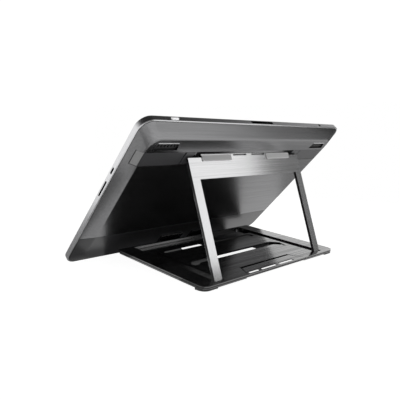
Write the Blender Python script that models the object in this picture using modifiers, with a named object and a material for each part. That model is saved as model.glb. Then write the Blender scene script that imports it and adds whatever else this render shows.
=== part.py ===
"""Pen drawing tablet on a fold-flat metal stand.

A 16-inch class pen display leans on a stand made of a flat base and a hinged leg frame.
Frame: metres, +Z up, +X to the right of the person drawing, +Y towards the tablet's back.
The origin is at the centre of the object's footprint, on the table.
"""
import math

import bmesh
import bpy
from mathutils import Matrix, Vector

mm = 0.001
GAP = 0.3 * mm                      # clearance kept between touching pieces

# Tablet: flat on its back, face up, in its own frame (x across, y up the screen, z to the front)
TABLET_W = 410 * mm
TABLET_H = 265 * mm
TABLET_T = 17.5 * mm
CORNER_R = 16 * mm
RIM_H = 8.2 * mm                    # side band, measured from the front face
CHAMFER_X = 18 * mm                 # inset of the flat back from the side edges
CHAMFER_Y = 18.5 * mm               # inset of the flat back from the top and bottom edges
PAN_ROUND = ((0.0, 2.2 * mm), (0.12 * mm, 0.98 * mm), (0.47 * mm, 0.25 * mm), (1.05 * mm, 0.0))
# PAN_ROUND: height and extra inset along the rounding between the flat back and its chamfer
RIM_Z = TABLET_T - RIM_H            # where the side band meets the chamfer
SHELL = 2.2 * mm
RIM_WALL = 2.8 * mm
LOWER_COVER_TOP = 69.5 * mm
PARTING_DROP = 12.5 * mm            # how far the covers' parting line falls across the side chamfers
RIB_Y0, RIB_Y1 = 198 * mm, 229 * mm  # solid cross rib that holds the prop hinges and the socket
UPPER_WALL = 5 * mm                 # wall round the cavity above the rib
RIM_EDGE = 0.8 * mm                 # bright bevel round the side band, front and rear
FRONT_LIP = 1.8 * mm                # side band seen round the glass
GLASS_T = 1.3 * mm
BOARD_HALF_X, BOARD_Y0, BOARD_Y1 = 88 * mm, 92 * mm, 168 * mm
BOARD_Z, BOARD_T = 4.6 * mm, 1.6 * mm
POST_R, POST_INSET, SPREADER_INSET, SPREADER_T = 2.5 * mm, 6 * mm, 10 * mm, 1.2 * mm
PANEL_T, BACKLIGHT_T, SENSOR_T, SHIELD_T = 2.2 * mm, 2.2 * mm, 0.8 * mm, 0.5 * mm

TILT = math.radians(46.47)          # screen to the table
SCREEN_W, SCREEN_H = 354 * mm, 202 * mm

# Prop legs folded into the back of the tablet
PROP_Y0, PROP_Y1 = 205 * mm, 226 * mm
PROP_T = 4.9 * mm
PROP_AXIS_X, PROP_AXIS_Z = 124.5 * mm, 2.6 * mm
PROP_CAP_X = 106.6 * mm             # inner end of the hinge cap
CAP_R = 9 * mm                      # its rounded lower corner
PROP_PIN_R = 1.0 * mm

# Socket in the back for the stand's tongue
SOCKET_HALF_X = 104.5 * mm
SOCKET_Y0, SOCKET_Y1 = 201 * mm, 226 * mm
SOCKET_FLOOR_Y = 216 * mm
SOCKET_DEPTH = 6.4 * mm

# Vents near the top corners of the back: x and y of the inner and outer ends
VENT_Y0, VENT_Y1 = 229.8 * mm, 239.5 * mm
VENT_LOW_X, VENT_HIGH_X = (141 * mm, 179 * mm), (143.5 * mm, 175 * mm)
VENT_BARS, VENT_PITCH, VENT_SLIT = 7, 5 * mm, 2 * mm

# Side and top details, centred on the side band
BAND_Z = TABLET_T - 4.1 * mm
USB_Y, USB_LEN, USB_H, USB_DEPTH = 185 * mm, 10 * mm, 2.9 * mm, 8 * mm
CARD_Y, CARD_LEN, CARD_H, CARD_DEPTH = 154 * mm, 26 * mm, 2.8 * mm, 12 * mm
TOP_SLOT_HALF_X, TOP_SLOT_H = 23.5 * mm, 4.2 * mm
TOP_BARS, TOP_PITCH, TOP_SLIT = 11, 4.2 * mm, 2.6 * mm
BUTTON_X, BUTTON_LEN, BUTTON_H = 157.5 * mm, 11 * mm, 3.4 * mm
BUTTON_PROUD, BUTTON_FOOT_T = 0.5 * mm, 1.4 * mm
SWITCH_HALF_X, SWITCH_LEN, SWITCH_HALF_Z = 3 * mm, 3.5 * mm, 1.6 * mm
LAMP_X, LAMP_R, LAMP_LEN = -144 * mm, 2.2 * mm, 5.6 * mm

# Stand base: rear edge at y = 0 of its own frame, front edge at y = -BASE_D
BASE_HALF_W = 144.5 * mm
BASE_D = 172 * mm
BASE_REAR_R, BASE_FRONT_R = 10 * mm, 4 * mm
BASE_Z0, BASE_Z1 = 0.5 * mm, 6 * mm
BASE_RISE = math.radians(4.45)      # the front sits higher than the rear edge
BASE_REAR_Y = 216.12 * mm           # rear edge from the tablet's bottom edge
LOWER_INSET, LIP_Z = 1.6 * mm, 2.4 * mm  # the plate's underside stands back below this height
SEAM_Z0, SEAM_Z1, SEAM_DEPTH = 3.5 * mm, 4.6 * mm, 0.9 * mm  # shadow gap round the base's edge
RECESS_Z = 1.7 * mm
CHANNEL_X0, CHANNEL_X1 = 103.5 * mm, 118.2 * mm
BEAM_RECESS_S0, BEAM_RECESS_S1 = 132.5 * mm, 168.8 * mm
PIVOT_S, PIVOT_Z = 10.5 * mm, 4.0 * mm
HEEL_S0, HEEL_S1 = 5.8 * mm, 17 * mm  # pocket round each leg's foot
GROOVE_HALF_X, GROOVE_S0, GROOVE_S1, GROOVE_Z = 96 * mm, 116 * mm, 129 * mm, 4.8 * mm
WINDOW_X0, WINDOW_X1, WINDOW_S0, WINDOW_S1 = 9 * mm, 60 * mm, 126 * mm, 142 * mm
BENT_S0, BENT_S1, BENT_HALF, BENT_END, BENT_DROP = 68.5 * mm, 79.5 * mm, 88 * mm, 97 * mm, 9 * mm
BENT_DISH, BENT_DISH_Z = 8 * mm, 5.2 * mm
HOLLOW_HALF_X, HOLLOW_S0, HOLLOW_S1, HOLLOW_Z = 52 * mm, 66 * mm, 90 * mm, 3.4 * mm
INSERT_REAR_X, INSERT_FRONT_X, INSERT_D, INSERT_T = 65 * mm, 53 * mm, 20.3 * mm, 1.2 * mm
INSERT_ROOM = 1.6 * mm              # how much wider its recess is
FINGER_S0, FINGER_S1 = 2.8 * mm, 7.8 * mm
TRENCH_S0, TRENCH_S1 = 20.6 * mm, 24.2 * mm  # dark gap along the insert's front edge
UNDER_HALF_X, UNDER_S0, UNDER_S1, UNDER_Z = 55 * mm, 3 * mm, 18 * mm, 2 * mm  # opening under the insert
FINGER_SLOTS = ((48 * mm, 11.5 * mm), (15.5 * mm, 17 * mm), (-24 * mm, 16.5 * mm))  # centre, half length

# Leg frame
LEG_RISE = math.radians(66.99)      # leg frame to the base, standing
LEG_T = 4 * mm
LEG_HALF_W, LEG_W = 117.7 * mm, 13.4 * mm
LEG_SHOULDER, BEAM_BOTTOM, TONGUE_TOP = 153 * mm, 125.6 * mm, 157.8 * mm
LEG_HEEL = 3.4 * mm
TONGUE_HALF_X = 94 * mm
LEG_PIN_R, LEG_PIN_LEN = 1.25 * mm, 23 * mm
TONGUE_SLITS = ((5 * mm, 33 * mm), (-35 * mm, -6 * mm))
TONGUE_SLIT_Y0, TONGUE_SLIT_Y1 = 154.4 * mm, 156.4 * mm
PAD_X0, PAD_X1, PAD_Y0, PAD_Y1, PAD_T = 38.5 * mm, 93.5 * mm, 148.2 * mm, 156 * mm, 1 * mm

# Stand hooks, rivets, feet and magnets
HOOK_X, HOOK_HALF = 33 * mm, 23.5 * mm
HOOK_TOP_Y = 45 * mm                # up the tablet's back
HOOK_PRONG_Y0, HOOK_PRONG_Y1 = 36.6 * mm, 38.4 * mm
HOOK_PRONG_HALF = 15 * mm
HOOK_T, HOOK_CLEAR = 1.8 * mm, 0.4 * mm
RIVET_R, RIVET_HEAD_R, RIVET_HEAD_T = 1.5 * mm, 3 * mm, 1 * mm
HOOK_RIVET_S, HOOK_RIVET_X = 156 * mm, (20 * mm, 45 * mm)
HOOK_PLATE_BACK = 6 * mm            # hook plate behind its rivets
FOOT_X, FOOT_HALF, FOOT_S0, FOOT_S1, FOOT_TOP = 133 * mm, 12.5 * mm, -1 * mm, 16 * mm, 1.9 * mm
FOOT_INSET = 0.3 * mm
MAGNET_X, MAGNET_S, MAGNET_R, MAGNET_LEN = 110 * mm, 166.2 * mm, 1.6 * mm, 2.4 * mm

BUTTON_TRAVEL = 0.6 * mm

# The footprint's centre lies this far behind the tablet's bottom edge
FOOTPRINT_Y = 105.596 * mm

MATERIALS = {
    "anodised_rim": ((0.55, 0.55, 0.57), 0.35, 0.9),
    "cover_black": ((0.035, 0.035, 0.038), 0.45, 0.1),
    "cover_strip": ((0.05, 0.05, 0.053), 0.6, 0.0),
    "prop_grey": ((0.05, 0.05, 0.055), 0.5, 0.1),
    "rubber_grey": ((0.22, 0.22, 0.22), 0.8, 0.0),
    "rubber_black": ((0.02, 0.02, 0.02), 0.85, 0.0),
    "brushed_alloy": ((0.62, 0.62, 0.63), 0.35, 0.95),
    "stand_black": ((0.03, 0.03, 0.032), 0.4, 0.6),
    "steel": ((0.5, 0.5, 0.5), 0.3, 1.0),
    "screen_glass": ((0.01, 0.01, 0.012), 0.1, 0.0),
    "panel_film": ((0.12, 0.12, 0.13), 0.3, 0.0),
    "board_green": ((0.03, 0.16, 0.07), 0.5, 0.0),
    "brass": ((0.7, 0.55, 0.25), 0.35, 1.0),
    "port_dark": ((0.04, 0.04, 0.04), 0.5, 0.3),
    "button_silver": ((0.75, 0.75, 0.76), 0.3, 0.9),
}


# ---------------------------------------------------------------- scene helpers

def clear_scene():
    for obj in list(bpy.data.objects):
        bpy.data.objects.remove(obj, do_unlink=True)
    for collection in list(bpy.data.collections):
        bpy.data.collections.remove(collection)


def make_collection(name):
    collection = bpy.data.collections.new(name)
    bpy.context.scene.collection.children.link(collection)
    return collection


def material(name):
    found = bpy.data.materials.get(name)
    if found:
        return found
    colour, roughness, metallic = MATERIALS[name]
    made = bpy.data.materials.new(name)
    made.use_nodes = True
    shader = made.node_tree.nodes["Principled BSDF"]
    shader.inputs["Base Color"].default_value = (*colour, 1.0)
    shader.inputs["Roughness"].default_value = roughness
    shader.inputs["Metallic"].default_value = metallic
    return made


def move_to(obj, collection):
    for holder in list(obj.users_collection):
        holder.objects.unlink(obj)
    collection.objects.link(obj)


def empty(name, location, rotation_x, parent=None):
    holder = bpy.data.objects.new(name, None)
    holder.location = location
    holder.rotation_euler = (rotation_x, 0.0, 0.0)
    holder.parent = parent
    PARTS.objects.link(holder)
    return holder


def finish(obj, name, material_name, parent):
    """Name a solid, give it its material and hang it on its frame."""
    obj.name = name
    obj.data.name = name
    obj.data.materials.clear()
    obj.data.materials.append(material(material_name))
    obj.data.shade_smooth()
    obj.data.set_sharp_from_angle(angle=math.radians(30))
    obj.parent = parent
    move_to(obj, PARTS)
    return obj


def as_cutter(obj, parent):
    obj.parent = parent
    obj.hide_render = True
    obj.display_type = 'WIRE'
    move_to(obj, CUTTERS)
    return obj


def boolean(obj, other, operation):
    modifier = obj.modifiers.new(other.name, 'BOOLEAN')
    modifier.operation = operation
    modifier.solver = 'EXACT'
    modifier.object = other


def cut(obj, tool, parent):
    boolean(obj, as_cutter(tool, parent), 'DIFFERENCE')


def join(obj, tool, parent):
    boolean(obj, as_cutter(tool, parent), 'UNION')


# ---------------------------------------------------------------- shape helpers

def box(low, high, corner_r=0.0, corner_axis=2):
    """A box between two corners, with the edges along one axis rounded."""
    bpy.ops.mesh.primitive_cube_add(size=1.0)
    obj = bpy.context.object
    centre = (Vector(low) + Vector(high)) / 2
    size = Vector(high) - Vector(low)
    obj.data.transform(Matrix.Translation(centre) @ Matrix.Diagonal((*size, 1.0)))
    if corner_r:
        round_edges(obj, corner_r, corner_axis)
    return obj


def round_edges(obj, radius, axis, segments=5):
    """Round the edges of a box that run along one axis, with a Bevel modifier's weights."""
    weights = obj.data.attributes.new("bevel_weight_edge", 'FLOAT', 'EDGE')
    for edge in obj.data.edges:
        ends = [obj.data.vertices[index].co for index in edge.vertices]
        along = (ends[1] - ends[0]).normalized()
        weights.data[edge.index].value = 1.0 if abs(along[axis]) > 0.99 else 0.0
    bevel = obj.modifiers.new("rounded corners", 'BEVEL')
    bevel.limit_method = 'WEIGHT'
    bevel.width = radius
    bevel.segments = segments


def rod(centre, radius, length, axis='X', sides=24):
    """A cylinder centred on a point."""
    bpy.ops.mesh.primitive_cylinder_add(vertices=sides, radius=radius, depth=length)
    obj = bpy.context.object
    turn = {'X': Matrix.Rotation(math.pi / 2, 4, 'Y'), 'Y': Matrix.Rotation(math.pi / 2, 4, 'X'),
            'Z': Matrix.Identity(4)}[axis]
    obj.data.transform(Matrix.Translation(Vector(centre)) @ turn)
    return obj


def outline_solid(points, half_depth, plane, offset=0.0):
    """A flat outline given depth on both sides of its plane: a filled 2D curve made a mesh."""
    curve = bpy.data.curves.new("outline", 'CURVE')
    curve.dimensions = '2D'
    curve.fill_mode = 'BOTH'
    curve.extrude = half_depth
    spline = curve.splines.new('POLY')
    spline.points.add(len(points) - 1)
    for point, (u, v) in zip(spline.points, points):
        point.co = (u, v, 0.0, 1.0)
    spline.use_cyclic_u = True
    guide = bpy.data.objects.new("outline", curve)
    CUTTERS.objects.link(guide)
    axes = {'XY': ((1, 0, 0), (0, 1, 0)), 'XZ': ((1, 0, 0), (0, 0, 1)), 'YZ': ((0, 1, 0), (0, 0, 1))}[plane]
    first, second = Vector(axes[0]), Vector(axes[1])
    normal = first.cross(second)
    turn = Matrix((first, second, normal)).transposed().to_4x4()
    graph = bpy.context.evaluated_depsgraph_get()
    mesh = bpy.data.meshes.new_from_object(guide.evaluated_get(graph))
    weld(mesh)
    mesh.transform(Matrix.Translation(normal * offset) @ turn)
    bpy.data.objects.remove(guide, do_unlink=True)
    obj = bpy.data.objects.new("outline", mesh)
    CUTTERS.objects.link(obj)
    return obj


def weld(mesh):
    work = bmesh.new()
    work.from_mesh(mesh)
    bmesh.ops.remove_doubles(work, verts=work.verts, dist=0.00001)
    bmesh.ops.dissolve_limit(work, angle_limit=0.001, verts=work.verts, edges=work.edges)
    bmesh.ops.recalc_face_normals(work, faces=work.faces)
    work.to_mesh(mesh)
    work.free()


def rounded_loop(half_x, y0, y1, radius, z, steps=6, low_radius=None):
    """Points round a rectangle with round corners, at one height; the low side may have its own radius."""
    corners = ((half_x, y1, 0), (-half_x, y1, 90), (-half_x, y0, 180), (half_x, y0, 270))
    points = []
    for x, y, start in corners:
        turn = radius if y == y1 or low_radius is None else low_radius
        centre_x = x - math.copysign(turn, x)
        centre_y = y - turn if y == y1 else y + turn
        for step in range(steps + 1):
            angle = math.radians(start + 90 * step / steps)
            points.append((centre_x + turn * math.cos(angle), centre_y + turn * math.sin(angle), z))
    return points


def loft(loops):
    """A closed solid through a stack of loops with equal counts, lowest first."""
    work = bmesh.new()
    rings = [[work.verts.new(point) for point in loop] for loop in loops]
    count = len(rings[0])
    for lower, upper in zip(rings, rings[1:]):
        for index in range(count):
            after = (index + 1) % count
            work.faces.new((lower[index], lower[after], upper[after], upper[index]))
    work.faces.new(reversed(rings[0]))
    work.faces.new(rings[-1])
    bmesh.ops.recalc_face_normals(work, faces=work.faces)
    mesh = bpy.data.meshes.new("loft")
    work.to_mesh(mesh)
    work.free()
    obj = bpy.data.objects.new("loft", mesh)
    CUTTERS.objects.link(obj)
    return obj


def mirrored(points, side):
    """An outline in x and one other axis, on the chosen side of the middle."""
    flipped = [(side * x, other) for x, other in points]
    return flipped if side > 0 else flipped[::-1]


def side_name(side):
    """The person drawing sits in front, so +X is their right."""
    return "right" if side > 0 else "left"


# ---------------------------------------------------------------- tablet shells

def pan_loop(z, wall, y0=None, y1=None, side_wall=0.0, radius=None):
    """Outline of the back pan at a height: widest at the side band, inset at the flat back."""
    fall = (RIM_Z - z) / RIM_Z
    inset_x = RIM_EDGE + (CHAMFER_X - RIM_EDGE) * fall + wall
    inset_y = RIM_EDGE + (CHAMFER_Y - RIM_EDGE) * fall + wall
    low = inset_y if y0 is None else y0
    high = TABLET_H - inset_y if y1 is None else y1
    return rounded_loop(TABLET_W / 2 - inset_x - side_wall, low, high, radius or CORNER_R - wall, z)


def back_pan():
    return loft([pan_loop(z, extra) for z, extra in PAN_ROUND] + [pan_loop(RIM_Z - GAP, 0.0)])


def pan_cavity(y0, y1, side_wall=0.0, radius=None):
    """The hollow behind the pan's wall; a limit of None follows the wall."""
    wall = SHELL * 1.15
    return loft([pan_loop(z, wall, y0, y1, side_wall, radius) for z in (SHELL, RIM_Z + 1 * mm)])


def socket_cutter():
    """Pocket for the stand's tongue: a floor, then a ramp that lets the tongue slide out."""
    points = [(SOCKET_Y0, -1 * mm), (SOCKET_Y0, 0.4 * mm), (SOCKET_FLOOR_Y, SOCKET_DEPTH),
              (SOCKET_Y1, SOCKET_DEPTH), (SOCKET_Y1, -1 * mm)]
    return outline_solid(points, SOCKET_HALF_X, 'YZ')


def prop_pocket_cutter(side):
    """Pocket for one prop leg and its hinge cap, open at the chamfer."""
    x0, x1 = PROP_CAP_X, TABLET_W / 2
    low = (x0 if side > 0 else -x1, PROP_Y0, -1 * mm)
    high = (x1 if side > 0 else -x0, PROP_Y1, PROP_T + GAP)
    return box(low, high)


def vent_outline(side, grow=0.0):
    """A vent with slanted ends."""
    low_y, high_y = VENT_Y0 - grow, VENT_Y1 + grow
    points = [(VENT_LOW_X[0] - grow, low_y), (VENT_LOW_X[1] + grow, low_y),
              (VENT_HIGH_X[1] + grow, high_y), (VENT_HIGH_X[0] - grow, high_y)]
    return mirrored(points, side)


def parting_side(y, far_y):
    """Everything on one side of the parting line, which falls across the side chamfers."""
    flat, edge, far = TABLET_W / 2 - CHAMFER_X, TABLET_W / 2, TABLET_W
    low = y - PARTING_DROP
    points = [(-far, far_y), (far, far_y), (far, low), (edge, low), (flat, y), (-flat, y), (-edge, low),
              (-far, low)]
    return outline_solid(points, 30 * mm, 'XY')


def back_cover(tablet):
    cover = back_pan()
    cut(cover, parting_side(LOWER_COVER_TOP + GAP, -TABLET_H), tablet)
    cut(cover, pan_cavity(LOWER_COVER_TOP + GAP + SHELL, RIB_Y0), tablet)
    cut(cover, pan_cavity(RIB_Y1, None, UPPER_WALL, UPPER_WALL), tablet)
    cut(cover, socket_cutter(), tablet)
    for side in (-1, 1):
        cut(cover, prop_pocket_cutter(side), tablet)
        pin_hole = rod((side * PROP_AXIS_X, (PROP_Y0 + PROP_Y1) / 2, PROP_AXIS_Z),
                       PROP_PIN_R + 0.1 * mm, PROP_Y1 - PROP_Y0 + 5.6 * mm, 'Y', 16)
        cut(cover, pin_hole, tablet)
        cut(cover, outline_solid(vent_outline(side), 5 * mm, 'XY'), tablet)
    return finish(cover, "back_cover", "cover_black", tablet)


def lower_cover(tablet):
    """The strip across the bottom of the back, with two sockets for the stand's hooks."""
    cover = back_pan()
    cut(cover, parting_side(LOWER_COVER_TOP, 2 * TABLET_H), tablet)
    cut(cover, pan_cavity(None, LOWER_COVER_TOP - PARTING_DROP - SHELL), tablet)
    for side in (-1, 1):
        centre = side * HOOK_X
        half = HOOK_PRONG_HALF + 1 * mm
        cut(cover, box((centre - half, HOOK_PRONG_Y0 - 1.4 * mm, -1 * mm),
                       (centre + half, HOOK_PRONG_Y1 + 0.6 * mm, 3 * mm)), tablet)
    return finish(cover, "lower_cover", "cover_strip", tablet)


def side_frame(tablet):
    """Side band with a bevel at the front and at the rear, hollow, with a seat for the glass."""
    half_x = TABLET_W / 2

    def band(inset, *heights):
        return [rounded_loop(half_x - inset, inset, TABLET_H - inset, CORNER_R - inset, z) for z in heights]

    frame = loft(band(RIM_EDGE, RIM_Z) + band(0.0, RIM_Z + RIM_EDGE, TABLET_T - RIM_EDGE)
                 + band(RIM_EDGE, TABLET_T))
    seat_z = TABLET_T - GLASS_T - GAP
    cut(frame, loft(band(RIM_WALL, RIM_Z - 1 * mm, seat_z)), tablet)
    cut(frame, loft(band(FRONT_LIP, seat_z, TABLET_T + 1 * mm)), tablet)
    deep = 2 * RIM_WALL
    cut(frame, box((half_x - deep, USB_Y - USB_LEN / 2, BAND_Z - USB_H / 2),
                   (half_x + deep, USB_Y + USB_LEN / 2, BAND_Z + USB_H / 2), 1.2 * mm, 0), tablet)
    cut(frame, box((half_x - deep, CARD_Y - CARD_LEN / 2, BAND_Z - CARD_H / 2),
                   (half_x + deep, CARD_Y + CARD_LEN / 2, BAND_Z + CARD_H / 2), 1.2 * mm, 0), tablet)
    cut(frame, box((-TOP_SLOT_HALF_X, TABLET_H - deep, BAND_Z - TOP_SLOT_H / 2),
                   (TOP_SLOT_HALF_X, TABLET_H + deep, BAND_Z + TOP_SLOT_H / 2), 1.4 * mm, 1), tablet)
    clear = GAP
    cut(frame, box((BUTTON_X - BUTTON_LEN / 2 - clear, TABLET_H - deep, BAND_Z - BUTTON_H / 2 - clear),
                   (BUTTON_X + BUTTON_LEN / 2 + clear, TABLET_H + deep, BAND_Z + BUTTON_H / 2 + clear),
                   1.5 * mm, 1), tablet)
    cut(frame, rod((LAMP_X, TABLET_H, BAND_Z), LAMP_R + GAP, 2 * deep, 'Y', 12), tablet)
    return finish(frame, "side_frame", "anodised_rim", tablet)


def layer(name, material_name, half_x, y0, y1, z0, z1, radius, tablet):
    slab = loft([rounded_loop(half_x, y0, y1, radius, z, 3) for z in (z0, z1)])
    return finish(slab, name, material_name, tablet)


def display_stack(tablet):
    """Glass, panel, backlight, pen sensor and shield, front to back."""
    lip = FRONT_LIP + GAP
    glass_z = TABLET_T - GLASS_T
    glass = loft([rounded_loop(TABLET_W / 2 - lip, lip, TABLET_H - lip, CORNER_R - lip, z)
                  for z in (glass_z, TABLET_T - 0.1 * mm)])
    finish(glass, "cover_glass", "screen_glass", tablet)
    middle = TABLET_H / 2
    stack = (("lcd_panel", "panel_film", SCREEN_W / 2, SCREEN_H / 2, PANEL_T),
             ("backlight_unit", "panel_film", SCREEN_W / 2 + 3 * mm, SCREEN_H / 2 + 3 * mm, BACKLIGHT_T),
             ("pen_sensor_board", "board_green", SCREEN_W / 2 + 5 * mm, SCREEN_H / 2 + 5 * mm, SENSOR_T),
             ("shield_plate", "steel", SCREEN_W / 2 + 5 * mm, SCREEN_H / 2 + 5 * mm, SHIELD_T))
    top = glass_z - GAP
    for name, look, half_x, half_y, thick in stack:
        layer(name, look, half_x, middle - half_y, middle + half_y, top - thick, top, 1.5 * mm, tablet)
        top -= thick + GAP


def electronics(tablet):
    """Main board on four posts with a heat spreader over it, in the pan's hollow."""
    board = box((-BOARD_HALF_X, BOARD_Y0, BOARD_Z), (BOARD_HALF_X, BOARD_Y1, BOARD_Z + BOARD_T), 2 * mm)
    finish(board, "main_board", "board_green", tablet)
    number = 0
    for x in (-BOARD_HALF_X + POST_INSET, BOARD_HALF_X - POST_INSET):
        for y in (BOARD_Y0 + POST_INSET, BOARD_Y1 - POST_INSET):
            number += 1
            post = rod((x, y, (SHELL + BOARD_Z) / 2), POST_R, BOARD_Z - SHELL - 2 * GAP, 'Z', 12)
            finish(post, f"board_post_{number}", "brass", tablet)
    spreader_z, spreader_half = BOARD_Z + BOARD_T + GAP, BOARD_HALF_X - 3 * SPREADER_INSET
    spreader = box((-spreader_half, BOARD_Y0 + SPREADER_INSET, spreader_z),
                   (spreader_half, BOARD_Y1 - SPREADER_INSET, spreader_z + SPREADER_T), 3 * mm)
    finish(spreader, "heat_spreader", "brushed_alloy", tablet)


def ports(tablet):
    """Sockets behind the openings in the side band."""
    inner_x = TABLET_W / 2 - RIM_WALL - GAP
    for name, y, length, height, depth in (("usb_socket", USB_Y, USB_LEN, USB_H, USB_DEPTH),
                                           ("card_socket", CARD_Y, CARD_LEN, CARD_H, CARD_DEPTH)):
        shell = box((inner_x - depth, y - length / 2 - 0.6 * mm, BAND_Z - height / 2 - 0.5 * mm),
                    (inner_x, y + length / 2 + 0.6 * mm, BAND_Z + height / 2 + 0.5 * mm))
        cut(shell, box((inner_x - depth + 1 * mm, y - length / 2, BAND_Z - height / 2),
                       (inner_x + 1 * mm, y + length / 2, BAND_Z + height / 2)), tablet)
        finish(shell, name, "port_dark", tablet)


def grilles(tablet):
    """Slotted grilles behind the two back vents and behind the slot in the top edge."""
    for side in (-1, 1):
        z0 = SHELL + GAP
        plate = outline_solid(vent_outline(side, 1.5 * mm), 0.5 * mm, 'XY', z0 + 0.5 * mm)
        plate.data.transform(Matrix.Translation((0, 1.2 * mm, 0)))
        for step in range(VENT_BARS):
            x = side * (VENT_LOW_X[0] + VENT_PITCH * (step + 1))
            low, high = VENT_Y0 + VENT_SLIT, VENT_Y1 - VENT_SLIT
            cut(plate, box((x - VENT_SLIT / 2, low, 0), (x + VENT_SLIT / 2, high, 6 * mm)), tablet)
        finish(plate, f"vent_grille_{side_name(side)}", "port_dark", tablet)
    y1 = TABLET_H - RIM_WALL - GAP
    overlap, half_h = 1.5 * mm, TOP_SLOT_H / 2
    top = box((-TOP_SLOT_HALF_X - overlap, y1 - 1 * mm, BAND_Z - half_h - overlap / 4),
              (TOP_SLOT_HALF_X + overlap, y1, BAND_Z + half_h + overlap / 4))
    for step in range(TOP_BARS):
        x = (step - TOP_BARS // 2) * TOP_PITCH
        cut(top, box((x - TOP_SLIT / 2, y1 - 3 * mm, BAND_Z - TOP_SLIT / 2),
                     (x + TOP_SLIT / 2, y1 + 1 * mm, BAND_Z + TOP_SLIT / 2)), tablet)
    finish(top, "top_grille", "port_dark", tablet)


def power_button(tablet):
    """Cap through the top edge with a wider foot inside, a switch behind it and a lamp nearby."""
    inner = TABLET_H - RIM_WALL
    cap = box((BUTTON_X - BUTTON_LEN / 2, inner - 1.5 * mm, BAND_Z - BUTTON_H / 2),
              (BUTTON_X + BUTTON_LEN / 2, TABLET_H + BUTTON_PROUD, BAND_Z + BUTTON_H / 2), 1.3 * mm, 1)
    foot_x, foot_z = BUTTON_LEN / 2 + 1 * mm, BUTTON_H / 2 + 0.6 * mm
    foot = box((BUTTON_X - foot_x, inner - GAP - BUTTON_FOOT_T, BAND_Z - foot_z),
               (BUTTON_X + foot_x, inner - GAP, BAND_Z + foot_z))
    join(cap, foot, tablet)
    finish(cap, "power_button", "button_silver", tablet)
    switch_y = inner - GAP - BUTTON_FOOT_T - BUTTON_TRAVEL - GAP
    switch = box((BUTTON_X - SWITCH_HALF_X, switch_y - SWITCH_LEN, BAND_Z - SWITCH_HALF_Z),
                 (BUTTON_X + SWITCH_HALF_X, switch_y, BAND_Z + SWITCH_HALF_Z))
    finish(switch, "power_switch", "port_dark", tablet)
    lamp = rod((LAMP_X, inner - LAMP_LEN / 4, BAND_Z), LAMP_R, LAMP_LEN, 'Y', 12)
    finish(lamp, "status_lamp", "rubber_grey", tablet)


# ---------------------------------------------------------------- prop legs

def prop_outline():
    """Section of a prop leg, x and z: round hinge end, flat faces, end cut to the chamfer."""
    radius = PROP_T / 2
    points = [(PROP_AXIS_X + radius * math.sin(angle), PROP_AXIS_Z - radius * math.cos(angle))
              for angle in (math.radians(-180 + 180 * step / 8) for step in range(9))]
    flat_end = TABLET_W / 2 - CHAMFER_X
    return points + [(flat_end, PROP_AXIS_Z - radius), (flat_end, PROP_AXIS_Z + radius)]


def prop_leg(side, tablet):
    y0, y1 = PROP_Y0 + GAP, PROP_Y1 - GAP
    half, centre = (y1 - y0) / 2, (y0 + y1) / 2
    name = side_name(side)
    axis = bpy.data.objects.new(f"prop_axis_{name}", None)
    axis.location = (side * PROP_AXIS_X, centre, PROP_AXIS_Z)
    axis.parent = tablet
    PARTS.objects.link(axis)
    home = Matrix.Translation(-axis.location)

    leg = outline_solid(mirrored(prop_outline(), side), half, 'XZ', -centre)
    leg.data.transform(home)
    cut(leg, rod((0, 0, 0), PROP_PIN_R + 0.1 * mm, 40 * mm, 'Y', 16), axis)
    finish(leg, f"prop_leg_{name}", "prop_grey", axis)

    flat_end = TABLET_W / 2 - CHAMFER_X + GAP
    slope = RIM_Z / (CHAMFER_X - RIM_EDGE)
    top = PROP_AXIS_Z + PROP_T / 2
    wedge = [(flat_end, 0.5 * mm), (flat_end + (top - 0.5 * mm) / slope, top), (flat_end, top)]
    foot = outline_solid(mirrored(wedge, side), half, 'XZ', -centre)
    foot.data.transform(home)
    finish(foot, f"prop_foot_{name}", "rubber_grey", axis)

    cap_end = PROP_AXIS_X - PROP_T / 2 - 2 * GAP
    cap_start = PROP_CAP_X + GAP
    round_part = [(cap_start + CAP_R * (1 - math.sin(angle)), y0 + CAP_R * (1 - math.cos(angle)))
                  for angle in (math.radians(15 * step) for step in range(7))]
    cap_points = [(cap_end, y0)] + round_part + [(cap_start, y1), (cap_end, y1)]
    cap = outline_solid(mirrored(cap_points, side), PROP_T / 2, 'XY', PROP_T / 2)
    finish(cap, f"prop_hinge_cap_{name}", "prop_grey", tablet)

    pin = rod((side * PROP_AXIS_X, centre, PROP_AXIS_Z), PROP_PIN_R, PROP_Y1 - PROP_Y0 + 5 * mm, 'Y', 16)
    finish(pin, f"prop_pin_{name}", "steel", tablet)


# ---------------------------------------------------------------- stand base

def slot(half_x, s0, s1, z0=-5 * mm, z1=10 * mm, centre_x=0.0, radius=None):
    """A cutter across the base, between two distances from its rear edge."""
    radius = (s1 - s0) * 0.45 if radius is None else radius
    return box((centre_x - half_x, -s1, z0), (centre_x + half_x, -s0, z1), radius)


def insert_outline(grow):
    """Plan of the rear insert, a little wider at the rear edge."""
    rear, front, depth = INSERT_REAR_X + grow, INSERT_FRONT_X + grow, INSERT_D + grow
    start = -0.4 * mm if grow == 0 else 2 * mm
    return [(-rear, start), (-front, -depth), (front, -depth), (rear, start)]


def finger_slots():
    """Finger slots near the rear edge, as cutters."""
    return [slot(half, FINGER_S0, FINGER_S1, centre_x=centre, radius=0.8 * mm)
            for centre, half in FINGER_SLOTS]


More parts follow.
